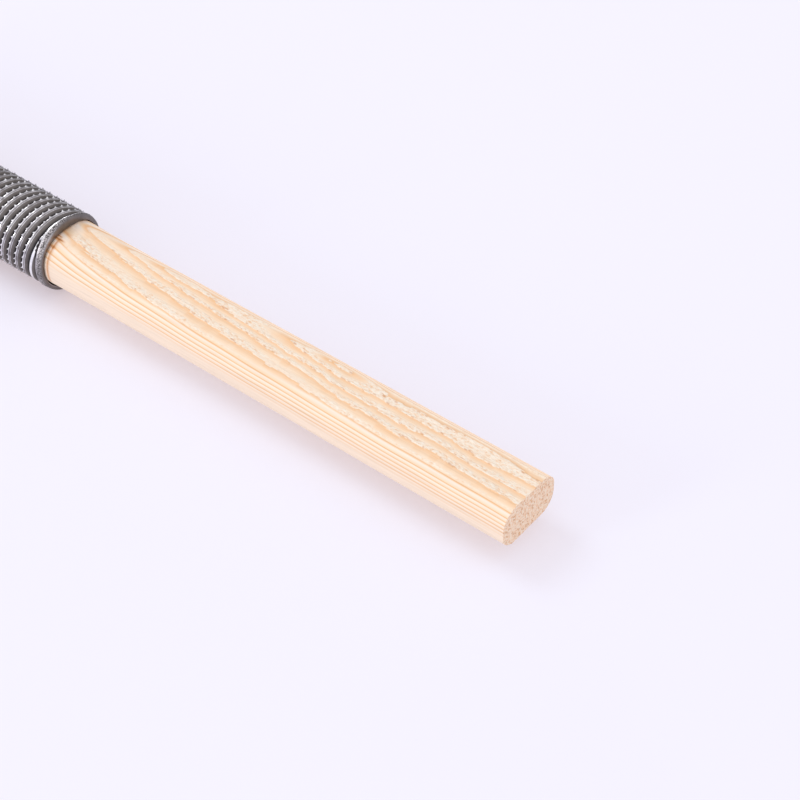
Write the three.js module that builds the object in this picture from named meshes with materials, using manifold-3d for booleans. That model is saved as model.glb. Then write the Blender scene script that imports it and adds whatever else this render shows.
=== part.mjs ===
// Round rasp: a steel barrel with a multi-start helical rib, held on a pine stick that is
// round inside the barrel and flattened on two faces outside it, as the handle.
// Millimetres. +X runs along the tool from the barrel's toe to the handle's butt, +Z is the
// outward normal of the handle's upper flat. The origin is the middle of the tool's axis.

import * as THREE from 'three';
import * as BufferGeometryUtils from 'three/addons/utils/BufferGeometryUtils.js';
import Module from 'manifold-3d';

const wasm = await Module();
wasm.setup();

// Driving dimensions.
const barrelLength = 150;
const handleLength = 167.5;
const crestRadius = 12.5;
const rootRadius = 11.7;
const boreRadius = 11.1;
const stickRadius = 10.9;
const fitGap = 0.2;

// The rib: five starts, each pitch one sawtooth whose steep face looks away from the handle.
const ribPitch = 3;
const ribStarts = 5;
const ribLead = ribPitch * ribStarts;
const ribProfile = [
  { along: 0, radius: rootRadius },
  { along: 0.15, radius: crestRadius },
  { along: 1.3, radius: crestRadius },
];
const sides = 30;

// The plain bands at the barrel's two ends, and the lip that closes the bore onto the stick.
const bandLength = 2.4;
const bandRadius = 12.4;
const bandChamfer = 0.4;
const lipThickness = 1.6;

// The stick's sections: width across the flats' plane, thickness between the flats.
const coreRecess = 1;
const cornerSteps = 7;
const flatStart = -4.5;
const stickSections = [
  { x: -(barrelLength - coreRecess), width: 2 * stickRadius, thickness: 2 * stickRadius, corner: 10.8 },
  { x: flatStart, width: 2 * stickRadius, thickness: 2 * stickRadius, corner: 10.8 },
  { x: -2.2, width: 21.6, thickness: 17.7, corner: 8.2 },
  { x: 0, width: 21.6, thickness: 17.7, corner: 8.2 },
  { x: 6, width: 21.6, thickness: 16.1, corner: 7.3 },
  { x: 12, width: 21.6, thickness: 14.7, corner: 6.4 },
  { x: 20, width: 21.7, thickness: 13.6, corner: 5.7 },
  { x: 30, width: 21.8, thickness: 13.2, corner: 5.4 },
  { x: handleLength, width: 22.6, thickness: 13.2, corner: 5.4 },
];

const axisMiddle = (handleLength - barrelLength) / 2;

const materials = {
  steel: new THREE.MeshStandardMaterial({ color: 0x6f6b6c, roughness: 0.38, metalness: 0.9 }),
  pine: new THREE.MeshStandardMaterial({ color: 0xecd0a8, roughness: 0.75, metalness: 0 }),
};

// A closed three.js geometry becomes a manifold solid, and comes back.
function toSolid(geometry) {
  const bare = geometry.clone();
  bare.deleteAttribute('normal');
  bare.deleteAttribute('uv');
  const merged = BufferGeometryUtils.mergeVertices(bare, 1e-5);
  return new wasm.Manifold(new wasm.Mesh({
    numProp: 3,
    vertProperties: new Float32Array(merged.attributes.position.array),
    triVerts: new Uint32Array(merged.index.array),
  }));
}

function toGeometry(solid) {
  const mesh = solid.getMesh();
  const geometry = new THREE.BufferGeometry();
  geometry.setAttribute('position', new THREE.Float32BufferAttribute(mesh.vertProperties, 3));
  geometry.setIndex(Array.from(mesh.triVerts));
  geometry.computeVertexNormals();
  return geometry;
}

function indexedGeometry(points, triangles) {
  const geometry = new THREE.BufferGeometry();
  geometry.setAttribute('position', new THREE.Float32BufferAttribute(points.flat(), 3));
  geometry.setIndex(triangles.flat());
  return geometry;
}

// Turned pieces: a profile of [x, radius] pairs, from axis to axis, turned about X.
function turned(profile) {
  const outline = profile.map(([x, radius]) => new THREE.Vector2(radius, x));
  return new THREE.LatheGeometry(outline, sides).rotateZ(-Math.PI / 2).rotateX(Math.PI / 2);
}

// The ribbed rod. Column i stands at angle i of the barrel, and its rows slide back along X by
// one lead in a full turn, so the last column joins the first one a whole lead of rows further on.
function ribbedRod(fromX, toX) {
  const rowsPerLead = ribStarts * ribProfile.length;
  const firstX = Math.floor((fromX - ribPitch) / ribPitch) * ribPitch;
  const pitches = Math.ceil((toX + ribLead + ribPitch - firstX) / ribPitch);
  const lastRow = pitches * ribProfile.length;
  const rowX = (row) => firstX + Math.floor(row / ribProfile.length) * ribPitch
    + ribProfile[row % ribProfile.length].along;
  const vertex = (column, row) => (column < sides
    ? column * (lastRow + 1) + row
    : row - rowsPerLead);
  const points = [];
  for (let column = 0; column < sides; column += 1) {
    const angle = (column / sides) * 2 * Math.PI;
    for (let row = 0; row <= lastRow; row += 1) {
      const radius = ribProfile[row % ribProfile.length].radius;
      const x = rowX(row) - (ribLead * column) / sides;
      points.push([x, radius * Math.cos(angle), radius * Math.sin(angle)]);
    }
  }
  const triangles = [];
  for (let column = 0; column < sides; column += 1) {
    const startRow = column === sides - 1 ? rowsPerLead : 0;
    for (let row = startRow; row < lastRow; row += 1) {
      const [a, b] = [vertex(column, row), vertex(column, row + 1)];
      const [c, d] = [vertex(column + 1, row), vertex(column + 1, row + 1)];
      triangles.push([a, c, b], [b, c, d]);
    }
  }
  closeEnd(points, triangles, lowLoop(vertex, rowsPerLead), firstX + ribPitch / 2, true);
  closeEnd(points, triangles, highLoop(vertex, rowsPerLead, lastRow), rowX(lastRow), false);
  return indexedGeometry(points, triangles);
}

function lowLoop(vertex, rowsPerLead) {
  const loop = [];
  for (let column = 0; column < sides; column += 1) loop.push(vertex(column, 0));
  for (let row = 1; row <= rowsPerLead; row += 1) loop.push(vertex(sides - 1, row));
  return loop;
}

function highLoop(vertex, rowsPerLead, lastRow) {
  const loop = [];
  for (let column = 0; column < sides; column += 1) loop.push(vertex(column, lastRow));
  for (let row = lastRow; row > 0 && loop.length < sides + rowsPerLead; row -= 1) {
    loop.push(vertex(0, lastRow - rowsPerLead + (lastRow - row)));
  }
  return loop;
}

// A fan of triangles from a point on the axis closes one end.
function closeEnd(points, triangles, loop, apexX, facesToe) {
  const apex = points.length;
  points.push([apexX, 0, 0]);
  loop.forEach((corner, k) => {
    const next = loop[(k + 1) % loop.length];
    triangles.push(facesToe ? [apex, next, corner] : [apex, corner, next]);
  });
}

// One section of the stick: a rectangle with round corners, counted round from +Y to +Z.
function sectionPoints({ width, thickness, corner }) {
  const points = [];
  for (let quadrant = 0; quadrant < 4; quadrant += 1) {
    const [sideY, sideZ] = [[1, 1], [-1, 1], [-1, -1], [1, -1]][quadrant];
    for (let step = 0; step <= cornerSteps; step += 1) {
      const angle = (quadrant + step / cornerSteps) * (Math.PI / 2);
      const y = sideY * (width / 2 - corner) + corner * Math.cos(angle);
      const z = sideZ * (thickness / 2 - corner) + corner * Math.sin(angle);
      points.push([y, z]);
    }
  }
  return points;
}

// A closed loft through sections that stand square to X.
function loft(sections) {
  const points = sections.flatMap((section) => sectionPoints(section).map(([y, z]) => [section.x, y, z]));
  const around = points.length / sections.length;
  const triangles = [];
  for (let ring = 0; ring < sections.length - 1; ring += 1) {
    for (let k = 0; k < around; k += 1) {
      const next = (k + 1) % around;
      const [a, b] = [ring * around + k, ring * around + next];
      triangles.push([a, b, a + around], [b, b + around, a + around]);
    }
  }
  const toe = Array.from({ length: around }, (_, k) => k);
  const butt = toe.map((k) => (sections.length - 1) * around + k);
  closeEnd(points, triangles, toe, sections[0].x, true);
  closeEnd(points, triangles, butt, sections[sections.length - 1].x, false);
  return indexedGeometry(points, triangles);
}

// A band fills one end of the barrel; its free end is chamfered.
function endBand(fromX, toX) {
  const towards = Math.sign(toX - fromX);
  const chamferX = toX - towards * bandChamfer;
  const profile = [[fromX, 0], [fromX, bandRadius], [chamferX, bandRadius],
    [toX, bandRadius - bandChamfer], [toX, 0]];
  return turned(towards > 0 ? profile : profile.reverse());
}

function buildBarrel() {
  const overlap = 0.4;
  const toeX = -barrelLength;
  const [ribFrom, ribTo] = [toeX + bandLength - overlap, -bandLength + overlap];
  const window = turned([[ribFrom, 0], [ribFrom, 2 * crestRadius], [ribTo, 2 * crestRadius], [ribTo, 0]]);
  const bore = turned([[toeX - 1, 0], [toeX - 1, boreRadius], [-lipThickness, boreRadius], [-lipThickness, 0]]);
  const mouth = stickSections.find((section) => section.x === 0);
  const clearMouth = {
    width: mouth.width + 2 * fitGap,
    thickness: mouth.thickness + 2 * fitGap,
    corner: mouth.corner + fitGap,
  };
  const opening = loft([{ x: -2 * lipThickness, ...clearMouth }, { x: lipThickness, ...clearMouth }]);
  const solid = toSolid(ribbedRod(ribFrom, ribTo))
    .intersect(toSolid(window))
    .add(toSolid(endBand(-bandLength, 0)))
    .add(toSolid(endBand(toeX + bandLength, toeX)))
    .subtract(toSolid(bore))
    .subtract(toSolid(opening));
  return toGeometry(solid);
}

function namedMesh(name, geometry, material) {
  const mesh = new THREE.Mesh(geometry, material);
  mesh.name = name;
  return mesh;
}

const tool = new THREE.Group();
tool.position.x = -axisMiddle;
tool.add(namedMesh('rasp_barrel', buildBarrel(), materials.steel));
tool.add(namedMesh('handle', loft(stickSections), materials.pine));

const group = new THREE.Group();
group.add(tool);

export default group;
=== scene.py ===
import math

import bmesh
import bpy
import numpy as np
from mathutils import Matrix, Vector


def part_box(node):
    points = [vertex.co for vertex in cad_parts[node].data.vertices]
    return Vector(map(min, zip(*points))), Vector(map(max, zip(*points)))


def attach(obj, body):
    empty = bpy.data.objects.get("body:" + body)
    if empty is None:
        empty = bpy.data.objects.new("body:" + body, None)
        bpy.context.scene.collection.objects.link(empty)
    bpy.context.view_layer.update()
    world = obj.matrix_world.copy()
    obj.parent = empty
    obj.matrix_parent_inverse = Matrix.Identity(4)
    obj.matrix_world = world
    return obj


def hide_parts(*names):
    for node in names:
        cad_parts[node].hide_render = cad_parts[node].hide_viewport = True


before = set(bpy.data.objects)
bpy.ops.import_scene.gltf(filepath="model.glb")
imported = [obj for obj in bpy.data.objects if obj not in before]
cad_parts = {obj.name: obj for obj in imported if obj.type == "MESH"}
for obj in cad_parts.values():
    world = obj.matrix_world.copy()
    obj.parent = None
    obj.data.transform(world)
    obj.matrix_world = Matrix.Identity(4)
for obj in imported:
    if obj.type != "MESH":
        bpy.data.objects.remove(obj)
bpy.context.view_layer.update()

# Shapes are worked out in millimetres, with X measured from the barrel's mouth. The CAD boxes place them.
MM = 0.001
TAU = 2 * math.pi
barrel_low, barrel_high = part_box("rasp_barrel")
handle_low, handle_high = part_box("handle")
MOUTH = barrel_high.x
BARREL_LENGTH = (barrel_high.x - barrel_low.x) / MM
HANDLE_LENGTH = (handle_high.x - MOUTH) / MM
CORE_START = (handle_low.x - MOUTH) / MM

# The teeth stand a little past the CAD box, so the floor lies this far below it.
ROOM_FOR_TEETH = 0.0004
FLOOR_Z = barrel_low.z - ROOM_FOR_TEETH


# ---------------------------------------------------------------- small helpers

def ease(share):
    return share * share * (3.0 - 2.0 * share)


def smoothstep(low, high, value):
    return ease(np.clip((value - low) / (high - low), 0.0, 1.0))


def between(value, low, low_full, high_full, high):
    """1 from low_full to high_full, falling smoothly to 0 at low and at high."""
    return smoothstep(low, low_full, value) * (1 - smoothstep(high_full, high, value))


def bell(distance, width):
    """1 at no distance, falling off on both sides."""
    return np.exp(-(distance / width) ** 2)


NOISE_CELLS = 256


def random_table(seed):
    return np.random.default_rng(seed).random((NOISE_CELLS, NOISE_CELLS))


def cell_noise(first, second, seed):
    """One random value from 0 to 1 for each unit cell."""
    table = random_table(seed)
    return table[np.floor(first).astype(int) % NOISE_CELLS, np.floor(second).astype(int) % NOISE_CELLS]


def value_noise(first, second, seed):
    """Smooth noise from 0 to 1 with features one unit across."""
    table = random_table(seed)
    row, column = np.floor(first).astype(int), np.floor(second).astype(int)
    down, across = ease(first - row), ease(second - column)

    def blended(column):
        here = table[row % NOISE_CELLS, column % NOISE_CELLS]
        there = table[(row + 1) % NOISE_CELLS, column % NOISE_CELLS]
        return here * (1 - down) + there * down

    return blended(column) * (1 - across) + blended(column + 1) * across


def make_piece(name, points, faces, attributes, sharp_angle):
    """A mesh object from points in millimetres from the mouth, with one float attribute per name."""
    mesh = bpy.data.meshes.new(name)
    placed = np.asarray(points, float) * MM
    placed[:, 0] += MOUTH
    mesh.from_pydata(placed.tolist(), [], faces)
    for key, values in attributes.items():
        layer = mesh.attributes.new(key, "FLOAT", "POINT")
        layer.data.foreach_set("value", np.asarray(values, np.float32))
    work = bmesh.new()
    work.from_mesh(mesh)
    bmesh.ops.recalc_face_normals(work, faces=work.faces)
    work.to_mesh(mesh)
    work.free()
    mesh.shade_smooth()
    mesh.set_sharp_from_angle(angle=math.radians(sharp_angle))
    piece = bpy.data.objects.new(name, mesh)
    bpy.context.scene.collection.objects.link(piece)
    return piece


def ring_faces(first, second):
    """The band of quads between two closed rings of point numbers."""
    count = len(first)
    faces = []
    for k in range(count):
        after = (k + 1) % count
        faces.append([int(first[k]), int(second[k]), int(second[after]), int(first[after])])
    return faces


# ---------------------------------------------------------------- the sections of the stick

# Distance from the mouth, width, thickness between the flats, corner radius.
STICK_SECTIONS = [
    (CORE_START, 21.8, 21.8, 10.8),
    (-4.5, 21.8, 21.8, 10.8),
    (-2.2, 21.6, 17.7, 8.2),
    (0.0, 21.6, 17.7, 8.2),
    (6.0, 21.6, 16.1, 7.3),
    (12.0, 21.6, 14.7, 6.4),
    (20.0, 21.7, 13.6, 5.7),
    (30.0, 21.8, 13.2, 5.4),
    (HANDLE_LENGTH, 22.6, 13.2, 5.4),
]
SECTION_TABLE = np.array(STICK_SECTIONS)
DISTANCE, WIDTH, THICKNESS, CORNER = range(4)
QUARTER_STEPS = 60


def stick_section(x):
    """Width, thickness and corner radius of the stick."""
    columns = (WIDTH, THICKNESS, CORNER)
    return [float(np.interp(x, SECTION_TABLE[:, DISTANCE], SECTION_TABLE[:, column])) for column in columns]


def dense_outline(width, thickness, corner):
    """A rectangle with round corners, from +Y round by +Z."""
    points = [(width / 2, 0.0)]
    for quadrant, (side_y, side_z) in enumerate([(1, 1), (-1, 1), (-1, -1), (1, -1)]):
        for step in range(QUARTER_STEPS + 1):
            angle = (quadrant + step / QUARTER_STEPS) * math.pi / 2
            y = side_y * (width / 2 - corner) + corner * math.cos(angle)
            z = side_z * (thickness / 2 - corner) + corner * math.sin(angle)
            points.append((y, z))
    points.append((width / 2, 0.0))
    return np.array(points)


def even_outline(width, thickness, corner, count):
    """The same outline as count points at equal steps along its length, and that length."""
    outline = dense_outline(width, thickness, corner)
    steps = np.hypot(*np.diff(outline, axis=0).T)
    run = np.concatenate([[0.0], np.cumsum(steps)])
    at = np.arange(count) / count * run[-1]
    y = np.interp(at, run, outline[:, 0])
    z = np.interp(at, run, outline[:, 1])
    return np.column_stack([y, z]), run[-1]


def outline_radius(width, thickness, corner, angles):
    """Distance from the axis to the outline in each direction."""
    outline = dense_outline(width, thickness, corner)
    own = np.unwrap(np.arctan2(outline[:, 1], outline[:, 0]))
    return np.interp(np.mod(angles, TAU), own, np.hypot(outline[:, 0], outline[:, 1]))


# ---------------------------------------------------------------- the ribs of the barrel

COLUMNS = 216
TEETH = 36
COLUMNS_PER_TOOTH = COLUMNS // TEETH
PITCH = 3.0
STARTS = 5
LEAD = PITCH * STARTS
BORE_RADIUS = 11.1
BAND_LENGTH = 2.4
BAND_RADIUS = 12.5
BARREL_SHARP_ANGLE = 38

# One pitch of the rib: distance behind the steep toothed face, radius, share of the tooth's height and of
# its forward lean there, and polish from 0 (black scale with painted shade in the grooves) to 1 (bright
# metal). The crest is a shallow trough between two bright edges.
RIB = [
    (0.00, 11.40, 0.25, 0.1, 0.00),
    (0.12, 12.36, 1.0, 1.0, 0.95),
    (0.40, 12.35, 0.3, 0.3, 0.72),
    (0.66, 12.22, 0.0, 0.0, 0.31),
    (0.90, 12.36, 0.0, 0.0, 0.90),
    (1.10, 12.22, 0.0, 0.0, 0.32),
    (1.75, 11.92, 0.0, 0.0, 0.23),
    (2.35, 11.40, 0.3, 0.0, 0.04),
]
ALONG, RADIUS, POLISH_AND_PAINTED_LIGHT = 0, 1, 4
KNOTS = len(RIB)
LEAD_ROWS = STARTS * KNOTS
CREST_KNOTS = range(1, 5)
RIB_PHASE = 0.6

# A tooth has its peak at the first of its columns and the rib dips a little between teeth. Heights differ.
TOOTH_SHAPE = [1.0, 0.12, -0.04, -0.06, -0.04, 0.12]
TOOTH_HEIGHT = 0.42
TOOTH_LEAN = 0.26
TOOTH_POLISH = 0.5
LEAST_TOOTH, TOOTH_SPREAD = 0.72, 0.5
TOOTH_FADE = (0.15, 0.8)
TOOTH_SEED = 11

# Dents in the crests, and scuffs that change their polish. Lengths are in columns.
DENT_DEPTH, DENT_LENGTH, DENT_SEED = 0.06, 1.7, 14
LEAST_SCUFF, SCUFF_SPREAD, SCUFF_LENGTH, SCUFF_SEED = 0.70, 0.52, 3.0, 13
THREAD_APART = 9.7
THREAD_OFFSET = 500.0

# The last rib leaves the mouth band at this angle and has no teeth for a while after it.
RUN_OUT = 0.7
RUN_OUT_ANGLE = math.radians(132)
RUN_OUT_STEPS = 5
SMOOTH_TURN = math.radians(125)
TEETH_RETURN = 0.8
LAST_RIB = 1
SMOOTH_CREST = dict(zip(CREST_KNOTS, [12.36, 12.43, 12.43, 12.34]))

# Above the run-out the last groove cuts into the back of the band between these angles.
MOST_CUT = 1.55
CUT_ANGLES = (0.4, 0.8, 2.2, 2.3)

# The groove between the last rib and the band is open just after the run-out, then only a thin line.
SEAM_OPEN = (0.02, 0.09, 0.42, 0.60)
SEAM_THIN = (0.2, 0.5, 2.2, 2.8)
OPEN_DEPTH, THIN_DEPTH = 1.20, 0.14
LEAST_RAGGED, RAGGED_SPREAD, RAGGED_SCALE, RAGGED_ROW, RAGGED_SEED = 0.6, 0.8, 28, 3.3, 71
SEAM_OFFSET, SEAM_SLOPE, SEAM_WIDTH = 0.34, 0.15, 0.27
# Black scale and painted shade darken the seam groove by this much.
SEAM_DARKENING = 1.8

# The raised point where the last rib starts, and the bright crest beside it.
KNOB_HEIGHT, KNOB_TURN, KNOB_OFFSET, KNOB_LENGTH = 0.5, 0.035, 0.3, 0.35
CREST_ANGLES = (-0.02, 0.02, 0.28, 0.42)
CREST_WIDTH, CREST_POLISH = 0.3, 0.6


def column_angles():
    return np.arange(COLUMNS) / COLUMNS * TAU


def helical(x, angles):
    """Distance along the pattern of ribs at a place on the barrel."""
    return x + RIB_PHASE + LEAD * angles / TAU


def along_axis(distance, angles):
    """The X of a distance along the pattern of ribs."""
    return distance - RIB_PHASE - LEAD * angles / TAU


def rib_value(distance, column):
    """A column of the rib's table at a distance along the pattern, without the teeth."""
    along = [knot[ALONG] for knot in RIB] + [PITCH]
    values = [knot[column] for knot in RIB] + [RIB[0][column]]
    return np.interp(np.mod(distance, PITCH), along, values)


def band_shift(angles):
    """How far the last groove cuts the back of the mouth band forwards, above the run-out."""
    cut = along_axis(2 * PITCH, angles) - PITCH + BAND_LENGTH
    return np.clip(cut, 0.0, MOST_CUT) * between(angles, *CUT_ANGLES)


def seam_groove(x, angles):
    """Depth of the short irregular groove between the last rib and the mouth band."""
    x = x - band_shift(angles)
    after = angles - RUN_OUT_ANGLE
    noise = value_noise(angles * RAGGED_SCALE, x * 0 + RAGGED_ROW, RAGGED_SEED)
    ragged = LEAST_RAGGED + RAGGED_SPREAD * noise
    depth = OPEN_DEPTH * between(after, *SEAM_OPEN) * ragged + THIN_DEPTH * between(after, *SEAM_THIN)
    return depth * bell(x + BAND_LENGTH + SEAM_OFFSET - SEAM_SLOPE * after, SEAM_WIDTH)


def run_out_knob(x, angles):
    """The raised point where the last rib starts, from 0 to 1."""
    round_share = (angles - RUN_OUT_ANGLE) / KNOB_TURN
    along_share = (x + BAND_LENGTH + KNOB_OFFSET) / KNOB_LENGTH
    return np.exp(-(round_share ** 2 + along_share ** 2))


def end_surface(x, angles):
    """Radius and polish between the ribs and the mouth band, where the ribs run out."""
    distance = helical(x, angles)
    crest = between(angles - RUN_OUT_ANGLE, *CREST_ANGLES) * bell(x + BAND_LENGTH + RUN_OUT, CREST_WIDTH)
    groove, knob = seam_groove(x, angles), run_out_knob(x, angles)
    radius = np.minimum(rib_value(distance, RADIUS), BAND_RADIUS) - groove + KNOB_HEIGHT * knob
    # The seam groove is painted darker: black scale and painted shade.
    polish_and_painted_light = rib_value(distance, POLISH_AND_PAINTED_LIGHT) + CREST_POLISH * crest - SEAM_DARKENING * groove + knob
    return radius, np.clip(polish_and_painted_light, 0.0, 1.0)


def thread_noise(angles, ribs, length, seed):
    """Noise that follows each rib round the barrel without a seam, with features length columns long."""
    turns = angles[:, None] / TAU - ribs[None, :] / STARTS
    thread = np.mod(ribs, STARTS)[None, :] * THREAD_APART + turns * 0
    return value_noise(turns * COLUMNS / length + THREAD_OFFSET, thread, seed)


def smooth_rib_share(angle):
    """How smooth the last rib still is: 1 without teeth, 0 with whole teeth."""
    return 1.0 - float(smoothstep(0, TEETH_RETURN, angle - RUN_OUT_ANGLE - SMOOTH_TURN))


class Ribs:
    """A column of points at each angle, in rows along the ribs, cut square at both ends."""

    def __init__(self, low_x, high_x):
        self.low_x, self.high_x = low_x, high_x
        self.first = math.floor((low_x - PITCH) / PITCH) * PITCH
        self.pitches = math.ceil((high_x + LEAD + PITCH - self.first) / PITCH)
        self.last_rib = LAST_RIB - round(self.first / PITCH)
        self.angles = column_angles()
        self.heights = LEAST_TOOTH + TOOTH_SPREAD * random_table(TOOTH_SEED)
        self.scuffs = thread_noise(self.angles, np.arange(self.pitches), SCUFF_LENGTH, SCUFF_SEED)
        self.dents = thread_noise(self.angles, np.arange(self.pitches), DENT_LENGTH, DENT_SEED)
        self.points, self.polish_and_painted_light_values = [], []
        self.index = np.zeros((COLUMNS + 1, self.pitches * KNOTS), int)
        for column in range(COLUMNS):
            self.add_column(column)
        self.index[COLUMNS, LEAD_ROWS:] = self.index[0, :-LEAD_ROWS]
        self.index[COLUMNS, :LEAD_ROWS] = self.index[0, 0]

    def add_column(self, column):
        angle = self.angles[column]
        end_x = self.high_x + float(band_shift(angle))
        cut = {}
        for row in range(self.pitches * KNOTS):
            rib, knot = divmod(row, KNOTS)
            x = along_axis(self.first + rib * PITCH + RIB[knot][ALONG], angle)
            if self.low_x < x < end_x:
                self.index[column, row] = self.add_rib_point(column, rib, knot, x, end_x)
                continue
            edge = self.low_x if x <= self.low_x else end_x
            if edge not in cut:
                cut[edge] = self.add_edge_point(edge, angle, edge == end_x)
            self.index[column, row] = cut[edge]

    def add_point(self, x, radius, angle, polish_and_painted_light):
        self.points.append((x, radius * math.cos(angle), radius * math.sin(angle)))
        self.polish_and_painted_light_values.append(polish_and_painted_light)
        return len(self.points) - 1

    def add_edge_point(self, x, angle, at_mouth):
        """A point where the ribs are cut square."""
        if at_mouth:
            radius, polish_and_painted_light = end_surface(x, angle)
        else:
            distance = helical(x, angle)
            radius, polish_and_painted_light = rib_value(distance, RADIUS), rib_value(distance, POLISH_AND_PAINTED_LIGHT)
        return self.add_point(x, float(radius), angle, float(polish_and_painted_light))

    def tooth_height(self, column, rib):
        """Height at a column of a rib, as a share of a full tooth. It is below 0 between teeth."""
        tooth = round(column / COLUMNS_PER_TOOTH)
        rib_number = rib if tooth < TEETH else rib - STARTS
        height = self.heights[rib_number % NOISE_CELLS, tooth % TEETH]
        return TOOTH_SHAPE[column % COLUMNS_PER_TOOTH] * height

    def add_rib_point(self, column, rib, knot, x, end_x):
        """A point of a rib, moved by its share of the tooth there."""
        _, radius, rise, lean, polish_and_painted_light = RIB[knot]
        angle = self.angles[column]
        height = self.tooth_height(column, rib)
        on_crest = knot in CREST_KNOTS
        if rib == self.last_rib:
            smooth = smooth_rib_share(angle)
            height *= 1.0 - smooth
            if on_crest:
                radius += smooth * (SMOOTH_CREST[knot] - radius)
                polish_and_painted_light += smooth * (1.0 - polish_and_painted_light)
        elif on_crest:
            radius += DENT_DEPTH * (self.dents[column, rib] - 0.5)
            polish_and_painted_light *= LEAST_SCUFF + SCUFF_SPREAD * self.scuffs[column, rib]
        height *= float(smoothstep(*TOOTH_FADE, end_x - x))
        height *= float(smoothstep(*TOOTH_FADE, x - self.low_x))
        radius += TOOTH_HEIGHT * rise * height
        polish_and_painted_light += TOOTH_POLISH * rise * max(height, 0.0) * on_crest
        x -= TOOTH_LEAN * lean * height
        return self.add_point(x, radius, angle, min(polish_and_painted_light, 1.0))


def ribbed_faces(index):
    """Faces between neighbouring columns, without those that the square cut closes up."""
    faces = []
    rows = index.shape[1]
    for column in range(COLUMNS):
        here, there = index[column].tolist(), index[column + 1].tolist()
        for row in range(rows - 1):
            corners = []
            for corner in (here[row], here[row + 1], there[row + 1], there[row]):
                if corner not in corners:
                    corners.append(corner)
            if len(corners) >= 3:
                faces.append(corners)
    return faces


# ---------------------------------------------------------------- the bands, lip and bore

LIP = 1.6
LIP_STEP = 0.4
MOUTH_SECTION = (22.0, 18.1, 8.4)
ROUND_MOUTH = 11.15
LOW_GAP = (3.42, 3.66, 4.1, 4.45)
# A painted highlight on the inner edge of the mouth where it is left round.
GAP_PAINTED_HIGHLIGHT = 0.5
ROUGH_CELLS, ROUGH_ROW, ROUGH_SEED = 60, 0.5, 5

# The back edge of the mouth band is a step down that the groove and the cut make deeper. The cut also
# moves it forwards. The move dies out over CUT_REACH and ends CUT_FRONT behind the mouth.
BACK_STEP, LOWEST_BACK, CUT_DEPTH, BACK_POLISH = 0.25, 11.5, 0.7, 0.7
CUT_FRONT, CUT_REACH = 0.4, 1.8
# Past these angles painted shade dims the back edge of the band.
PAINTED_DIMMING_ANGLES = (2.28, 2.45)

# The outside of the mouth band: distance from its back edge, radius past BAND_RADIUS, height of the
# unevenness and how many columns it is turned by, polish, polish taken off by painted shade past the
# run-out, mottle.
MOUTH_BAND = [
    (0.09, -0.02, 0.00, 0, 1.00, 0.45, 0.0),
    (0.30, 0.03, 0.00, 0, 1.00, 0.45, 0.0),
    (0.52, 0.00, 0.00, 0, 0.80, 0.25, 0.4),
    (0.85, -0.04, 0.07, 0, 0.47, 0.00, 1.0),
    (1.25, -0.06, 0.10, 7, 0.46, 0.00, 1.0),
    (1.60, -0.08, 0.08, 19, 0.46, 0.00, 1.0),
]

# The round front edge of the mouth band: distance behind the mouth, radius below BAND_RADIUS, polish
# past the front face's, mottle.
FRONT_EDGE = [
    (0.30, 0.19, 0.08, 0.4),
    (0.12, 0.36, 0.02, 0.2),
    (0.00, 0.62, 0.00, 0.0),
]
# A painted sheen brightens the front face on its lower near side.
FRONT_POLISH, FRONT_PAINTED_SHEEN, FRONT_SHEEN_ANGLES = 0.34, 0.14, (1.75, 2.2, 2.45, 2.75)

# The round inner edge of the mouth: distance behind the mouth and radius past the opening at its start,
# middle and end, then the polish at its end.
INNER_EDGE = [(0.00, 0.25), (0.05, 0.08), (0.20, 0.00)]
INNER_POLISH, BORE_POLISH = 0.22, 0.05

# The toe band from its end face outwards: distance from the toe, radius past BAND_RADIUS, height of
# the unevenness and how many columns it is turned by, polish, mottle.
TOE_BAND = [
    (0.00, -0.45, 0.00, 0, 0.42, 0.0),
    (0.15, -0.18, 0.00, 0, 0.60, 0.3),
    (0.45, 0.00, 0.05, 0, 0.52, 1.0),
    (1.20, -0.02, 0.08, 11, 0.54, 1.0),
    (BAND_LENGTH - 0.3, 0.00, 0.05, 31, 0.62, 0.8),
    (BAND_LENGTH - 0.1, 0.00, 0.00, 0, 0.90, 0.0),
    (BAND_LENGTH, -0.20, 0.00, 0, 0.50, 0.0),
]


def low_gap(angles):
    """Where the mouth is left round, low on the near side, from 0 to 1."""
    return between(angles, *LOW_GAP)


def mouth_opening(angles):
    """Radius of the mouth: closed onto the flattened stick except at the low gap."""
    closed = outline_radius(*MOUTH_SECTION, angles)
    return closed + (ROUND_MOUTH - closed) * low_gap(angles)


class Rings:
    """Rings round the axis, each as its X, radius, polish and mottle."""

    def __init__(self):
        self.angles = column_angles()
        noise = value_noise(self.angles / TAU * ROUGH_CELLS, self.angles * 0 + ROUGH_ROW, ROUGH_SEED)
        self.rough = noise - 0.5
        self.made = []

    def add(self, x, radius, polish_and_painted_light, mottle=0.0):
        blank = self.angles * 0
        self.made.append((x + blank, radius + blank, polish_and_painted_light + blank, mottle))

    def add_uneven(self, x, past, height, turn, polish_and_painted_light, mottle):
        self.add(x, BAND_RADIUS + past + height * np.roll(self.rough, turn), polish_and_painted_light, mottle)


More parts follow.
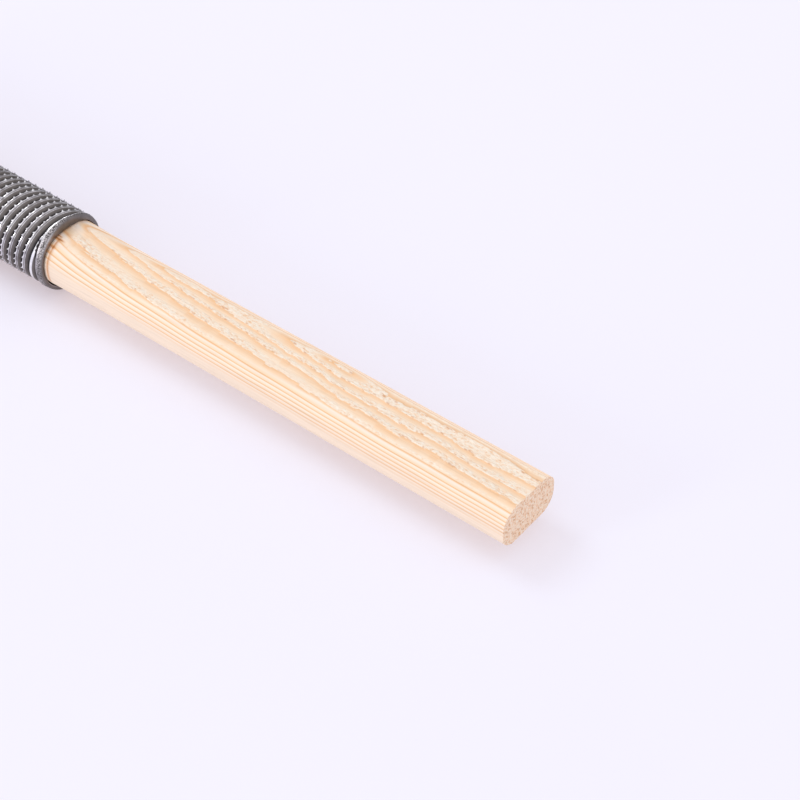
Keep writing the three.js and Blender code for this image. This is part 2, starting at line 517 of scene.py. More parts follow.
def add_mouth_band(rings):
    """From the mouth end of the ribs to the front edge of the band."""
    angles = rings.angles
    shift = band_shift(angles)

    def moved(x):
        return x + shift * min(1.0, (-CUT_FRONT - x) / CUT_REACH)

    for step in range(1, RUN_OUT_STEPS):
        x = -BAND_LENGTH - RUN_OUT * (1 - step / RUN_OUT_STEPS)
        rings.add(moved(x), *end_surface(x + shift, angles))
    groove = seam_groove(-BAND_LENGTH + angles * 0, angles)
    back = BAND_RADIUS - BACK_STEP - groove - CUT_DEPTH * np.minimum(1.0, shift)
    # The back edge is painted darker where the groove and the cut go deep: black scale and painted shade.
    back_polish_and_painted_shade = np.clip(BACK_POLISH - groove - shift, 0.0, 1.0)
    rings.add(moved(-BAND_LENGTH), np.maximum(LOWEST_BACK, back), back_polish_and_painted_shade)
    # Painted shade dims the back edge of the band past the run-out.
    painted_dimming = smoothstep(*PAINTED_DIMMING_ANGLES, angles)
    for distance, past, height, turn, polish_and_painted_light, lost, mottle in MOUTH_BAND:
        rings.add_uneven(moved(-BAND_LENGTH + distance), past, height, turn, polish_and_painted_light - lost * painted_dimming, mottle)
    rings.add_uneven(-0.50, -0.13, 0.04, 0, 0.44, 0.8)


def add_lip(rings):
    """From the front edge of the band over the front face, round the lip and into the bore."""
    opening, gap = mouth_opening(rings.angles), low_gap(rings.angles)
    # Painted sheen on the lower near side of the front face.
    front = FRONT_POLISH + FRONT_PAINTED_SHEEN * between(rings.angles, *FRONT_SHEEN_ANGLES)
    for behind, below, polish_and_painted_light, mottle in FRONT_EDGE:
        rings.add(-behind, BAND_RADIUS - below, front + polish_and_painted_light, mottle)
    # Painted highlight on the inner edge at the low gap.
    inner_polish = [front, front + GAP_PAINTED_HIGHLIGHT * gap, INNER_POLISH + GAP_PAINTED_HIGHLIGHT * gap]
    for (behind, past), polish_and_painted_light in zip(INNER_EDGE, inner_polish):
        rings.add(-behind, opening + past, polish_and_painted_light)
    rings.add(-LIP, opening, BORE_POLISH)
    rings.add(-LIP - LIP_STEP, BORE_RADIUS, BORE_POLISH)


def add_toe(rings):
    """From the bore over the toe's end face and back to the toe end of the ribs."""
    toe = -BARREL_LENGTH
    rings.add(toe + 0.20, BORE_RADIUS, 0.10)
    rings.add(toe + 0.05, BORE_RADIUS + 0.06, 0.45)
    rings.add(toe, BORE_RADIUS + 0.20, 0.40)
    for distance, past, height, turn, polish_and_painted_light, mottle in TOE_BAND:
        rings.add_uneven(toe + distance, past, height, turn, polish_and_painted_light, mottle)


def build_barrel():
    ribs = Ribs(-BARREL_LENGTH + BAND_LENGTH, -BAND_LENGTH - RUN_OUT)
    rings = Rings()
    add_mouth_band(rings)
    add_lip(rings)
    add_toe(rings)
    points, polish_and_painted_light_values = ribs.points, ribs.polish_and_painted_light_values
    mottles = [0.0] * len(points)
    faces = ribbed_faces(ribs.index)
    before = ribs.index[:COLUMNS, -1]
    for x, radius, polish_and_painted_light, mottle in rings.made:
        start = len(points)
        points.extend(zip(x, radius * np.cos(rings.angles), radius * np.sin(rings.angles)))
        polish_and_painted_light_values.extend(polish_and_painted_light)
        mottles.extend([mottle] * COLUMNS)
        ring = np.arange(start, start + COLUMNS)
        faces.extend(ring_faces(before, ring))
        before = ring
    faces.extend(ring_faces(before, ribs.index[:COLUMNS, 0]))
    attributes = {"polish_and_painted_light": polish_and_painted_light_values, "mottle": mottles}
    return make_piece("toothed_barrel", points, faces, attributes, BARREL_SHARP_ANGLE)


# ---------------------------------------------------------------- the pine stick

# The stick is a row of loops of points, close together where it shows.
AROUND = 264
LOOP_STEP = 0.50
HIDDEN_LOOPS = [CORE_START, CORE_START + 0.3, -60.0, -12.0]
SHOWN_FROM, SHOWN_TO = -4.5, HANDLE_LENGTH - 0.3
BUTT_LOOPS = [HANDLE_LENGTH - 0.22, HANDLE_LENGTH - 0.08]
STICK_SHARP_ANGLE = 42

# The growth rings lie almost flat in the stick and sink along it. Their normal leans this far from
# -Z towards -Y at the mouth, and this much less at the butt.
RING_LEAN = 0.183
RING_LEAN_CHANGE = -0.085
RING_DRIFT = (-4.31, 2.48)
RING_TOP = -10.9
RING_WIDTHS = [0.45, 0.40, 0.55, 0.47, 0.34, 0.41, 0.39, 0.65, 1.03, 0.87, 1.02, 1.15, 1.21]
RING_WIDTH_BELOW = 1.2
RINGS_BELOW = 20

# The rings bend near both long edges of the flat: up at two places on the far edge, down at the near one.
FAR_EDGE, NEAR_EDGE = (3.0, 8.0), (-6.0, -9.5)
FAR_BEND_AT_BUTT, BUTT_BEND_START = 0.6, (98.0, 120.0)
FAR_BEND_IN_MIDDLE, MIDDLE_BEND = 0.35, (40.0, 55.0, 84.0, 94.0)
NEAR_BEND = 0.36


def ring_waves(x, y):
    """Slow waves of the rings along the stick, in millimetres."""
    return 0.05 * np.sin(x / 9.5 + y / 5.0) + 0.025 * np.sin(x / 3.7 + 2.0)


def ring_phase(x, y, z):
    """Number of growth rings above a point, with slow waves. The rings follow the flat up to the mouth."""
    along = x / HANDLE_LENGTH
    thickness = np.interp(x, SECTION_TABLE[:, DISTANCE], SECTION_TABLE[:, THICKNESS])
    level = z * SECTION_TABLE[-1, THICKNESS] / thickness
    lean = RING_LEAN + RING_LEAN_CHANGE * along
    depth = -(np.sin(lean) * y + np.cos(lean) * level)
    depth = depth + RING_DRIFT[0] * along + RING_DRIFT[1] * along ** 2
    far_bend = FAR_BEND_AT_BUTT * smoothstep(*BUTT_BEND_START, x)
    far_bend = far_bend + FAR_BEND_IN_MIDDLE * between(x, *MIDDLE_BEND)
    depth = depth + far_bend * smoothstep(*FAR_EDGE, y) - NEAR_BEND * smoothstep(*NEAR_EDGE, y)
    depth = depth + ring_waves(x, y)
    widths = RING_WIDTHS + [RING_WIDTH_BELOW] * RINGS_BELOW
    edges = RING_TOP + np.concatenate([[0.0], np.cumsum(widths)])
    return np.interp(depth, edges, np.arange(len(edges)))


# Torn flakes of early wood: length, width and seed of each layer, and height in millimetres. A flake
# starts at its foot's share of its height. Lanes of flakes are shifted against each other.
COARSE_FLAKES, COARSE_HEIGHT = (4.2, 0.75, 31), 0.20
FINE_FLAKES, FINE_HEIGHT = (1.9, 0.45, 41), 0.08
FLAKE_FOOT = 0.35
LANE_SHIFT = 9.0


def flakes(x, around, length, width, seed):
    """Torn flakes: each rises along the grain and ends in a step."""
    lane = np.floor(around / width)
    shifted = x / length + LANE_SHIFT * cell_noise(lane, lane * 0, seed)
    height = cell_noise(shifted, lane, seed + 1)
    return height * (FLAKE_FOOT + (1 - FLAKE_FOOT) * (shifted - np.floor(shifted)))


# The flats: how squarely the surface faces up or down there, and where they start.
FLAT_EDGE, FLAT_START = (0.90, 0.985), (1.0, 6.0)

# On the flats the rings' edges are ragged by this share of a ring. Cells are length by width.
JAG, JAG_CELL, JAG_SHIFT, JAG_SHIFT_SEED, JAG_SEED = 0.16, (2.6, 1.7), 5, 21, 22

# The torn early wood is this part of each ring and stands up like a wedge. It comes in patches.
TORN_EDGE, WEDGE_RISE, WEDGE_HEIGHT = (0.44, 0.58), (0.44, 0.95), 0.05
PATCH_EDGE, PATCH_CELL, PATCH_SEED = (0.22, 0.5), (22, 3.5), 23
LEAST_TORN = 0.35

# Painted shadow in the gaps behind the flakes at the end of a ring.
GAP_EDGE, GAP_CELL, GAP_SEED, GAP_PART, GAP_PAINTED_SHADOW = (0.84, 0.88), (0.85, 0.5), 64, (0.84, 0.92), 0.50

# Low down on the near side the rings fade out over these ring numbers. The far side gets painted light that
# makes it a little paler.
CALM_RINGS, CALM_SIDE = (13.05, 14.5), (-7.0, -9.0)
FAR_SIDE = (6.0, 10.0)

# Late wood stands a little proud on the round sides, and the whole surface swells slowly.
LATE_WOOD_RISE = 0.018
SWELL, SWELL_CELL, SWELL_START, SWELL_SEED = 0.05, (14, 4), (2, 8), 51

# The steel pinched the wood at the mouth: a raised edge, then a pressed line with a brown painted shadow
# along it.
PINCHED_ANGLES = (1.9, 2.2, 3.4, 3.6)
PINCH_HEIGHT, PINCH_START, PINCH_END = 0.16, (0.0, 0.2), (0.6, 0.9)
LINE_AT, LINE_DEPTH, LINE_WIDTH = 1.15, 0.12, 0.28
LINE_PAINTED_SHADOW, LINE_PAINTED_SHADOW_WIDTH, LEAST_LINE, LINE_CELL, LINE_SEED = 0.95, 0.30, 0.75, 2.0, 65
# Painted shade on the wood at the mouth and inside it, fading out a little past the steel.
SHADE_END, LEAST_SHADE, SHADE_SPREAD, SHADE_CELL, SHADE_SEED = (0.1, 0.7), 0.08, 0.35, (0.4, 1.3), 62

# Brown marks on the wood at the mouth: angle round the stick, half width, length in mm, strength.
MOUTH_MARKS = [
    (2.07, 0.030, 3.6, 1.0),
    (1.97, 0.025, 1.6, 0.8),
    (2.36, 0.045, 2.2, 0.65),
    (2.52, 0.050, 1.2, 0.45),
]
MARK_FADE = 0.45

# The saw frayed the corner of the butt over this length, and left its face uneven.
FRAY_LENGTH, FRAY_HEIGHT, FRAY_CELL, FRAY_LEVEL, FRAY_SEED = 1.2, 0.10, 0.5, 0.6, 61
SAWN_ROUGHNESS, CAP_CELL, CAP_SEED = 0.12, 0.5, 65
CAP_RINGS, CAP_EDGE, CAP_CURVE, CAP_DEPTH = 9, 0.985, 0.9, 0.6


def mouth_mark(x, angle, centre, half_width, length, strength):
    return strength * bell(angle - centre, half_width) * (1 - smoothstep(MARK_FADE * length, length, x))


class StickSurface:
    """Arrays with a row for each loop of the stick and a column for each point round it."""

    def __init__(self):
        shown = np.arange(SHOWN_FROM, SHOWN_TO, LOOP_STEP).tolist()
        at = HIDDEN_LOOPS + shown + BUTT_LOOPS
        loops = [even_outline(*stick_section(x), AROUND) for x in at]
        outline = np.array([loop for loop, _ in loops])
        tangent = np.roll(outline, -1, axis=1) - np.roll(outline, 1, axis=1)
        span = np.linalg.norm(tangent, axis=2)
        self.x = np.repeat(np.array(at)[:, None], AROUND, axis=1)
        self.y, self.z = outline[:, :, 0], outline[:, :, 1]
        self.out_y, self.out_z = tangent[:, :, 1] / span, -tangent[:, :, 0] / span
        self.around = np.array([np.arange(AROUND) / AROUND * length for _, length in loops])
        self.flat = smoothstep(*FLAT_EDGE, np.abs(self.out_z)) * smoothstep(*FLAT_START, self.x)
        self.phase = ring_phase(self.x, self.y, self.z) + JAG * self.jag()
        self.share = self.phase - np.floor(self.phase)
        self.torn = self.torn_share()
        self.angle = np.mod(np.arctan2(self.z, self.y), TAU)
        self.pinched = between(self.angle, *PINCHED_ANGLES)

    def jag(self):
        """Ragged steps of the rings' edges on the flats, from -0.5 to 0.5."""
        length, width = JAG_CELL
        shift = JAG_SHIFT * cell_noise(self.around / width, self.x * 0, JAG_SHIFT_SEED)
        return (cell_noise(self.x / length + shift, self.around / width, JAG_SEED) - 0.5) * self.flat

    def torn_share(self):
        """How torn the wood is, from 0 to 1."""
        noise = value_noise(self.x / PATCH_CELL[0], self.around / PATCH_CELL[1], PATCH_SEED)
        patch = smoothstep(*PATCH_EDGE, noise)
        return smoothstep(*TORN_EDGE, self.share) * self.flat * (LEAST_TORN + (1 - LEAST_TORN) * patch)

    def relief(self):
        """How far the wood stands out of the plain section."""
        coarse = flakes(self.x, self.around, *COARSE_FLAKES)
        fine = flakes(self.x, self.around, *FINE_FLAKES)
        wedge = self.torn * smoothstep(*WEDGE_RISE, self.share)
        relief = wedge * (WEDGE_HEIGHT + COARSE_HEIGHT * coarse) + self.torn * FINE_HEIGHT * fine
        relief += LATE_WOOD_RISE * (1 - self.share) * (1 - self.flat)
        swell = value_noise(self.x / SWELL_CELL[0], self.around / SWELL_CELL[1], SWELL_SEED) - 0.5
        relief += SWELL * swell * smoothstep(*SWELL_START, self.x)
        relief += PINCH_HEIGHT * self.pinched * between(self.x, *PINCH_START, *PINCH_END)
        relief -= LINE_DEPTH * self.pinched * bell(self.x - LINE_AT, LINE_WIDTH)
        relief = np.where(self.x < 0.0, 0.0, relief)
        frayed = smoothstep(HANDLE_LENGTH - FRAY_LENGTH, HANDLE_LENGTH, self.x)
        fray = value_noise(self.around / FRAY_CELL, self.x * 0, FRAY_SEED) - FRAY_LEVEL
        return relief + FRAY_HEIGHT * frayed * fray

    def mouth_marks_and_painted_shade(self):
        """Brown marks, and painted shade and shadow where the steel meets the wood, from 0 to 1."""
        line_noise = value_noise(self.around / LINE_CELL, self.x * 0, LINE_SEED)
        # A brown painted shadow along the pressed line.
        line = self.pinched * bell(self.x - LINE_AT, LINE_PAINTED_SHADOW_WIDTH)
        line = line * (LEAST_LINE + (1 - LEAST_LINE) * line_noise)
        # Painted shade on the wood beside the steel, away from the pinched part.
        shade_noise = value_noise(self.around / SHADE_CELL[1], self.x * SHADE_CELL[0], SHADE_SEED)
        shade = (1 - smoothstep(*SHADE_END, self.x)) * (LEAST_SHADE + SHADE_SPREAD * shade_noise)
        marks = sum(mouth_mark(self.x, self.angle, *mark) for mark in MOUTH_MARKS)
        return np.clip(LINE_PAINTED_SHADOW * line + shade * (1 - self.pinched) + marks, 0, 1)

    def painted_flake_shadows(self):
        """Where painted shadow darkens the gap behind a flake, from 0 to 1."""
        noise = cell_noise(self.x / GAP_CELL[0], self.around / GAP_CELL[1], GAP_SEED)
        return self.torn * smoothstep(*GAP_EDGE, noise) * smoothstep(*GAP_PART, self.share)

    def attributes(self):
        """A value at each point for every attribute that the pine's shader reads."""
        values = {
            "ring": self.phase,
            "torn": self.torn,
            # Real brown marks at the mouth, with painted shade and shadows there and behind the flakes.
            "stain_and_painted_shade": np.maximum(self.mouth_marks_and_painted_shade(), GAP_PAINTED_SHADOW * self.painted_flake_shadows()),
            "side": 1 - self.flat,
            "calm": smoothstep(*CALM_RINGS, self.phase) * smoothstep(*CALM_SIDE, self.y),
            "painted_far_light": smoothstep(*FAR_SIDE, self.y),
            "end_grain": self.x * 0,
        }
        return {key: value.ravel().tolist() for key, value in values.items()}


def build_stick():
    surface = StickSurface()
    relief = surface.relief()
    y = surface.y + surface.out_y * relief
    z = surface.z + surface.out_z * relief
    points = np.column_stack([surface.x.ravel(), y.ravel(), z.ravel()]).tolist()
    values = surface.attributes()
    faces = []
    loops = [np.arange(k * AROUND, (k + 1) * AROUND) for k in range(len(surface.x))]
    for first, second in zip(loops, loops[1:]):
        faces.extend(ring_faces(first, second))
    close_with_cap(points, values, faces, loops[-1], HANDLE_LENGTH, SAWN_ROUGHNESS)
    close_with_cap(points, values, faces, loops[0], CORE_START, 0.0)
    return make_piece("pine_stick", points, faces, values, STICK_SHARP_ANGLE)


def close_with_cap(points, values, faces, edge, x, roughness):
    """Closes one end with rings that shrink to the middle."""
    border = np.array([points[k] for k in edge])
    middle = border.mean(axis=0)
    before = edge
    for step in range(1, CAP_RINGS + 1):
        share = CAP_EDGE * (1 - (step - 1) / CAP_RINGS) ** CAP_CURVE
        ring = middle + (border - middle) * share
        uneven = value_noise(ring[:, 1] / CAP_CELL, ring[:, 2] / CAP_CELL, CAP_SEED + step) - 0.5
        ring[:, 0] = x - roughness * (0.5 + uneven) * CAP_DEPTH
        start = len(points)
        points.extend(ring.tolist())
        added = {"ring": ring_phase(x, ring[:, 1], ring[:, 2]).tolist(), "end_grain": [1.0] * len(edge)}
        for key in values:
            values[key].extend(added.get(key, [0.0] * len(edge)))
        here = np.arange(start, start + len(edge))
        faces.extend(ring_faces(before, here))
        before = here
    faces.append([int(k) for k in before])


# ---------------------------------------------------------------- materials

def linear_light(value):
    """A display value from 0 to 255 as linear light from 0 to 1."""
    share = value / 255.0
    return share / 12.92 if share <= 0.04045 else ((share + 0.055) / 1.055) ** 2.4


WOOD_LIGHT = 1.16


def wood(red, green, blue):
    """A colour that shows as these display values when lit by WOOD_LIGHT."""
    return tuple(min(1.0, linear_light(value) / WOOD_LIGHT) for value in (red, green, blue)) + (1.0,)


def grey(value):
    return (value, value, value, 1.0)


class Nodes:
    """A short way to add and link the shader nodes of a material or a world."""

    def __init__(self, owner):
        owner.use_nodes = True
        self.tree = owner.node_tree
        self.tree.nodes.clear()

    def add(self, kind, inputs=None, **settings):
        """A node with its settings, and each input either linked or set."""
        made = self.tree.nodes.new("ShaderNode" + kind)
        for key, value in settings.items():
            setattr(made, key, value)
        for key, value in (inputs or {}).items():
            if isinstance(value, bpy.types.NodeSocket):
                self.tree.links.new(value, made.inputs[key])
            else:
                made.inputs[key].default_value = value
        return made

    def attribute(self, name):
        return self.add("Attribute", attribute_name=name).outputs["Fac"]

    def maths(self, operation, first, second=0.0, clamp=False):
        return self.add("Math", {0: first, 1: second}, operation=operation, use_clamp=clamp).outputs[0]

    def centred(self, value, strength):
        """A value from 0 to 1 moved to lie around 0, times a strength."""
        return self.maths("MULTIPLY", self.maths("SUBTRACT", value, 0.5), strength)

    def level(self, colour):
        return self.add("RGBToBW", {"Color": colour}).outputs[0]

    def ramp(self, factor, stops):
        made = self.add("ValToRGB", {0: factor})
        elements = made.color_ramp.elements
        while len(elements) > 1:
            elements.remove(elements[-1])
        elements[0].position, elements[0].color = stops[0]
        for position, colour in stops[1:]:
            element = elements.new(position)
            element.color = colour
        return made.outputs["Color"]

    def mix(self, factor, first, second, blend="MIX"):
        inputs = {"Factor": factor, 6: first, 7: second}
        return self.add("Mix", inputs, data_type="RGBA", blend_type=blend).outputs[2]

    def place(self, scale):
        """The place on the object, stretched by a scale on each axis."""
        place = self.add("TexCoord").outputs["Object"]
        return self.add("Mapping", {"Vector": place, "Scale": scale}).outputs[0]

    def noise(self, scale, detail, roughness=0.5):
        inputs = {"Vector": self.place(scale), "Scale": 1.0, "Detail": detail, "Roughness": roughness}
        return self.add("TexNoise", inputs).outputs["Fac"]

    def bump(self, height, strength, distance):
        inputs = {"Height": height, "Strength": strength, "Distance": distance}
        return self.add("Bump", inputs).outputs[0]

    def finish(self, **inputs):
        """The one surface shader. Underscores stand for the spaces in a socket's name."""
        named = {key.replace("_", " "): value for key, value in inputs.items()}
        shader = self.add("BsdfPrincipled", named)
        self.add("OutputMaterial", {"Surface": shader.outputs[0]})


# The darkest steel is black scale with painted shade, for the grooves and the seam.
STEEL_BY_POLISH = [
    (0.00, (0.012, 0.012, 0.016, 1)),
    (0.12, (0.045, 0.041, 0.042, 1)),
    (0.28, (0.165, 0.148, 0.140, 1)),
    (0.42, (0.230, 0.212, 0.210, 1)),
    (0.56, (0.400, 0.380, 0.395, 1)),
    (0.78, (0.640, 0.625, 0.650, 1)),
    (1.00, (0.950, 0.945, 0.960, 1)),
]
ROUGHNESS_BY_POLISH = [(0.0, grey(0.65)), (0.30, grey(0.42)), (0.55, grey(0.26)), (1.0, grey(0.14))]
STEEL_SPOTS = [(0.30, grey(0.62)), (0.52, grey(1.0)), (0.75, grey(1.35))]
STEEL_FLECKS = [(0.40, grey(0.22)), (0.50, grey(0.85)), (0.60, grey(2.0))]
SPOT_SHARE = 0.6
PATCHES_PER_METRE = (420, 420, 420)
GRIT_PER_METRE = (2600, 2600, 2600)
GRIT_DEPTH = 0.0001
MOTTLE_ROUGHNESS, PATCH_ROUGHNESS = 0.26, 0.20
MOTTLE_BUMP, PLAIN_BUMP = 0.5, 0.10


def steel_colour(nodes, polish_and_painted_light, mottle, patches, grit):
    """Steel by its polish, with soft spots, and with flecks where it is mottled."""
    body = nodes.ramp(polish_and_painted_light, STEEL_BY_POLISH)
    base = nodes.mix(SPOT_SHARE, body, nodes.ramp(patches, STEEL_SPOTS), "MULTIPLY")
    flecked = nodes.mix(1.0, base, nodes.ramp(grit, STEEL_FLECKS), "MULTIPLY")
    return nodes.mix(mottle, base, flecked)


def steel_roughness(nodes, polish_and_painted_light, mottle, patches):
    gloss = nodes.level(nodes.ramp(polish_and_painted_light, ROUGHNESS_BY_POLISH))
    rough = nodes.maths("ADD", gloss, nodes.maths("MULTIPLY", mottle, MOTTLE_ROUGHNESS))
    return nodes.maths("ADD", rough, nodes.centred(patches, PATCH_ROUGHNESS), True)


def steel_material():
    material = bpy.data.materials.new("ribbed_steel")
    nodes = Nodes(material)
    polish_and_painted_light, mottle = nodes.attribute("polish_and_painted_light"), nodes.attribute("mottle")
    patches = nodes.noise(PATCHES_PER_METRE, 4.0, 0.6)
    grit = nodes.noise(GRIT_PER_METRE, 3.0, 0.65)
    strength = nodes.maths("ADD", nodes.maths("MULTIPLY", mottle, MOTTLE_BUMP), PLAIN_BUMP)
    nodes.finish(
        Base_Color=steel_colour(nodes, polish_and_painted_light, mottle, patches, grit),
        Roughness=steel_roughness(nodes, polish_and_painted_light, mottle, patches),
        Metallic=1.0,
        Normal=nodes.bump(grit, strength, GRIT_DEPTH),
    )
    return material


# Colours across one growth ring, which begins and ends in dark late wood.
RING_ON_FLAT = [
    (0.00, wood(246, 199, 151)),
    (0.09, wood(250, 209, 168)),
    (0.30, wood(251, 220, 187)),
    (0.48, wood(252, 229, 203)),
    (0.96, wood(252, 234, 213)),
    (1.00, wood(243, 202, 162)),
]
RING_ON_SIDE = [
    (0.00, wood(236, 180, 132)),
    (0.08, wood(247, 212, 172)),
    (0.20, wood(252, 236, 221)),
    (0.50, wood(251, 228, 205)),
    (0.84, wood(248, 217, 180)),
    (0.94, wood(240, 192, 146)),
    (1.00, wood(236, 180, 132)),
]
CALM_COLOUR = wood(250, 229, 207)
STREAKS = [(0.3, grey(0.86)), (0.5, grey(1.0)), (0.7, grey(1.08))]
STREAK_SHARE = 0.5
TORN_FUZZ = [(0.34, wood(243, 196, 150)), (0.45, wood(252, 229, 204)), (0.62, wood(255, 247, 232))]
TORN_SHARE = 0.8
# Brown for the real marks and for the painted shade and shadows on the wood.
STAIN_AND_SHADE_COLOURS = [(0.55, wood(218, 152, 98)), (1.0, wood(176, 118, 70))]
STAIN_AND_SHADE_STRENGTH = 1.25
# Painted light makes the far side of the stick paler.
FAR_SIDE_PAINTED_LIGHT = 1.24
SAWN_WOOD = [(0.36, wood(248, 200, 158)), (0.62, wood(255, 240, 220))]
SAWN_DOT = wood(216, 160, 112)
DOT_SHARE = 0.8
DOTS_PER_METRE = 1250.0
DOT_EDGE = [(0.0, grey(1)), (0.34, grey(1)), (0.50, grey(0))]
DOTS_KEPT = [(0.46, grey(0)), (0.54, grey(1))]
KEPT_PER_METRE = (700, 700, 700)
SAWN_PER_METRE = (1600, 1600, 1600)
STREAKS_PER_METRE = (60, 1500, 1500)
FUZZ_PER_METRE = (800, 1700, 1700)
CHIPS_PER_METRE = (420, 1300, 1300)
CHIP_RISE, LINT_RISE, STREAK_RISE = 2.4, 3.0, 0.5
WOOD_BUMP, WOOD_BUMP_DEPTH = 0.42, 0.00022


def ring_colour(nodes):
    """The growth rings on the flats and on the sides. The calm part of a side shows none."""
    share = nodes.maths("FRACT", nodes.attribute("ring"))
    on_flat = nodes.ramp(share, RING_ON_FLAT)
    on_side = nodes.mix(nodes.attribute("calm"), nodes.ramp(share, RING_ON_SIDE), CALM_COLOUR)
    return nodes.mix(nodes.attribute("side"), on_flat, on_side)


def long_grain_colour(nodes, streaks, fuzz, torn):
    """The surface of the stick without its sawn end."""
    colour = nodes.mix(STREAK_SHARE, ring_colour(nodes), nodes.ramp(streaks, STREAKS), "MULTIPLY")
    pale = nodes.ramp(fuzz, TORN_FUZZ)
    colour = nodes.mix(nodes.maths("MULTIPLY", torn, TORN_SHARE), colour, pale)
    # Brown marks, painted shade and painted shadows.
    stain_and_painted_shade = nodes.attribute("stain_and_painted_shade")
    strength = nodes.maths("MULTIPLY", stain_and_painted_shade, STAIN_AND_SHADE_STRENGTH, True)
    colour = nodes.mix(strength, colour, nodes.ramp(stain_and_painted_shade, STAIN_AND_SHADE_COLOURS))
    # Painted light on the far side of the stick.
    return nodes.mix(nodes.attribute("painted_far_light"), colour, grey(FAR_SIDE_PAINTED_LIGHT), "MULTIPLY")


def sawn_end_colour(nodes):
    """End grain with some dark dots."""
    pores = nodes.add("TexVoronoi", {"Vector": nodes.place((1, 1, 1)), "Scale": DOTS_PER_METRE})
    dot = nodes.ramp(pores.outputs["Distance"], DOT_EDGE)
    kept = nodes.ramp(nodes.noise(KEPT_PER_METRE, 1.0), DOTS_KEPT)
    speck = nodes.level(nodes.mix(1.0, dot, kept, "MULTIPLY"))
    cut = nodes.ramp(nodes.noise(SAWN_PER_METRE, 3.0, 0.6), SAWN_WOOD)
    return nodes.mix(nodes.maths("MULTIPLY", speck, DOT_SHARE), cut, SAWN_DOT)


def wood_height(nodes, streaks, fuzz, torn):
    """Fine relief: streaks everywhere, chips and lint where the wood is torn."""
    chips = nodes.add("TexVoronoi", {"Vector": nodes.place(CHIPS_PER_METRE), "Scale": 1.0})
    rise = nodes.centred(nodes.level(chips.outputs["Color"]), CHIP_RISE)
    lint = nodes.centred(fuzz, LINT_RISE)
    loose = nodes.maths("MULTIPLY", nodes.maths("ADD", rise, lint), torn)
    return nodes.maths("ADD", nodes.maths("MULTIPLY", streaks, STREAK_RISE), loose)


def pine_material():
    material = bpy.data.materials.new("rough_pine")
    nodes = Nodes(material)
    streaks = nodes.noise(STREAKS_PER_METRE, 4.0, 0.6)
    fuzz = nodes.noise(FUZZ_PER_METRE, 3.0, 0.7)
    torn = nodes.attribute("torn")
    long_grain = long_grain_colour(nodes, streaks, fuzz, torn)
    height = wood_height(nodes, streaks, fuzz, torn)
    nodes.finish(
        Base_Color=nodes.mix(nodes.attribute("end_grain"), long_grain, sawn_end_colour(nodes)),
        Roughness=0.72,
        Specular_IOR_Level=0.25,
        Normal=nodes.bump(height, WOOD_BUMP, WOOD_BUMP_DEPTH),
    )
    return material


FLOOR_COLOUR = (0.45, 0.52, 0.62, 1.0)
FLOOR_GLOW = (0.414, 0.315, 0.300, 1.0)


def floor_material():
    material = bpy.data.materials.new("studio_table")
    Nodes(material).finish(
        Base_Color=FLOOR_COLOUR,
        Emission_Color=FLOOR_GLOW,
        Emission_Strength=1.0,
        Roughness=0.9,
        Specular_IOR_Level=0.0,
    )
    return material


# ---------------------------------------------------------------- studio

FLOOR_REACH = 4.0
WORLD_COLOUR = (1.0, 0.99, 1.03, 1.0)
WORLD_DARK = 0.63
WORLD_BRIGHT = 1.17
BRIGHT_SIDE = (0.60, -0.70, 0.38)

# The unlit back of the studio: where it is, how wide (as cosines of its edge and core) and how dark.
UNLIT_SIDE = (-0.35, 0.88, 0.30)
UNLIT_EDGE, UNLIT_CORE = 0.86, 0.98
UNLIT_LEVEL = 0.55

# Name, direction from the mouth, width, height, watts and tint of each light.
LIGHT_DISTANCE = 4.0
LIGHTS = [
    ("overhead", (-0.59, 0.0, 0.81), 1.6, 1.6, 30, (1.0, 0.99, 0.98)),
    ("low_strip", (-0.38, -0.88, 0.285), 0.8, 1.1, 32, (1.0, 1.0, 1.0)),
    ("back_strip", (-0.80, 0.58, 0.12), 0.6, 0.6, 12, (1.0, 1.0, 1.0)),
]


def make_floor():
    mesh = bpy.data.meshes.new("table_top")
    sides = [(-1, -1), (1, -1), (1, 1), (-1, 1)]
    corners = [(x * FLOOR_REACH, y * FLOOR_REACH, FLOOR_Z) for x, y in sides]
    mesh.from_pydata(corners, [], [(0, 1, 2, 3)])
    mesh.materials.append(floor_material())
    floor = bpy.data.objects.new("table_top", mesh)
    bpy.context.scene.collection.objects.link(floor)


def soft_light(name, direction, width, height, watts, tint):
    """A rectangular light that looks at the mouth of the barrel."""
    data = bpy.data.lights.new(name, "AREA")
    data.shape = "RECTANGLE"
    data.size, data.size_y = width, height
    data.energy = watts
    data.color = tint
    light = bpy.data.objects.new(name, data)
    towards = Vector(direction).normalized()
    light.location = Vector((MOUTH, 0, 0)) + towards * LIGHT_DISTANCE
    light.rotation_mode = "QUATERNION"
    light.rotation_quaternion = towards.to_track_quat("Z", "Y")
    bpy.context.scene.collection.objects.link(light)


def facing(nodes, place, side):
    """How directly a place in the world lies towards a side, from -1 to 1."""
    inputs = {0: place, 1: Vector(side).normalized()}
    return nodes.add("VectorMath", inputs, operation="DOT_PRODUCT").outputs["Value"]


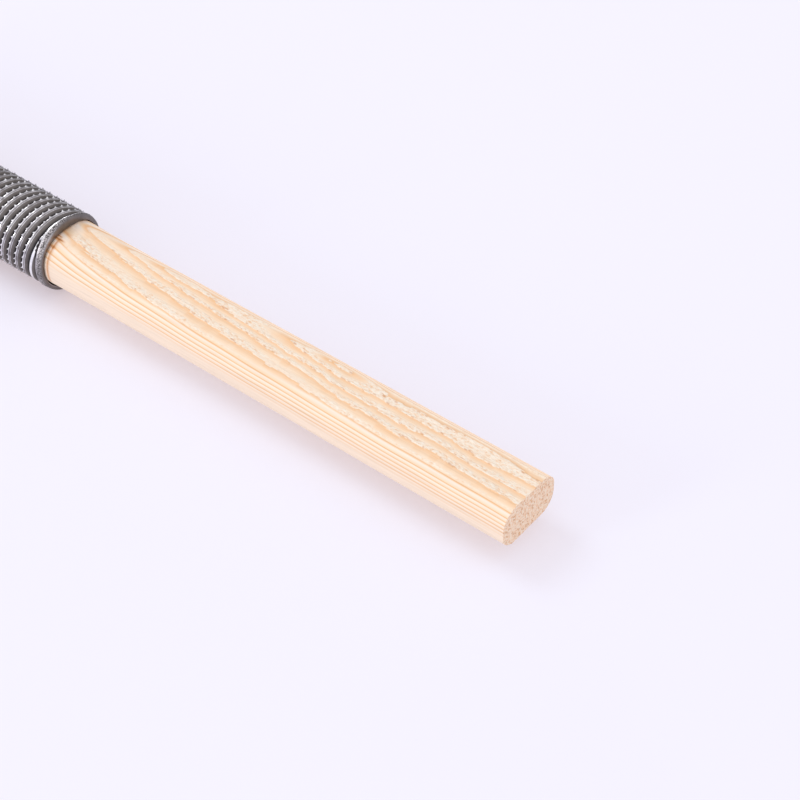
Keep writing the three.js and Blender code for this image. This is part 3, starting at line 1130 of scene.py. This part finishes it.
def make_world():
    """Light from all round, brighter towards one side, with an unlit back."""
    world = bpy.data.worlds.new("studio")
    bpy.context.scene.world = world
    nodes = Nodes(world)
    place = nodes.add("TexCoord").outputs["Generated"]
    level = nodes.add("MapRange", {
        "Value": facing(nodes, place, BRIGHT_SIDE),
        "From Min": -1.0,
        "To Min": WORLD_DARK,
        "To Max": WORLD_BRIGHT,
    })
    fall = nodes.add("MapRange", {
        "Value": facing(nodes, place, UNLIT_SIDE),
        "From Min": UNLIT_EDGE,
        "From Max": UNLIT_CORE,
        "To Min": 1.0,
        "To Max": UNLIT_LEVEL,
    }, interpolation_type="SMOOTHSTEP")
    strength = nodes.maths("MULTIPLY", level.outputs[0], fall.outputs[0])
    background = nodes.add("Background", {"Color": WORLD_COLOUR, "Strength": strength})
    nodes.add("OutputWorld", {"Surface": background.outputs[0]})


# The camera goes round the aim by its azimuth and up by its elevation, in degrees.
CAMERA_AZIMUTH = 38.16
CAMERA_ELEVATION = 43.99
CAMERA_ROLL = 0.4
CAMERA_DISTANCE = 0.5823
CAMERA_AIM = Vector((0.1065, 0.0116, 0.0))
LENS = 95.15
SENSOR_WIDTH = 36.0
NEAREST, FARTHEST = 0.01, 30.0


def make_camera():
    data = bpy.data.cameras.new("view")
    data.lens = LENS
    data.sensor_width = SENSOR_WIDTH
    data.clip_start, data.clip_end = NEAREST, FARTHEST
    camera = bpy.data.objects.new("view", data)
    azimuth, elevation = math.radians(CAMERA_AZIMUTH), math.radians(CAMERA_ELEVATION)
    back = Vector((
        math.sin(azimuth) * math.cos(elevation),
        -math.cos(azimuth) * math.cos(elevation),
        math.sin(elevation),
    ))
    turn = back.to_track_quat("Z", "Y").to_matrix() @ Matrix.Rotation(math.radians(CAMERA_ROLL), 3, "Z")
    camera.matrix_world = Matrix.Translation(CAMERA_AIM + back * CAMERA_DISTANCE) @ turn.to_4x4()
    bpy.context.scene.collection.objects.link(camera)
    bpy.context.scene.camera = camera


# ---------------------------------------------------------------- the scene

barrel = build_barrel()
barrel.data.materials.append(steel_material())
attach(barrel, "root")
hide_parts("rasp_barrel")

stick = build_stick()
stick.data.materials.append(pine_material())
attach(stick, "root")
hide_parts("handle")

make_floor()
make_world()
for light in LIGHTS:
    soft_light(*light)
make_camera()
bpy.context.scene.view_settings.view_transform = "Standard"
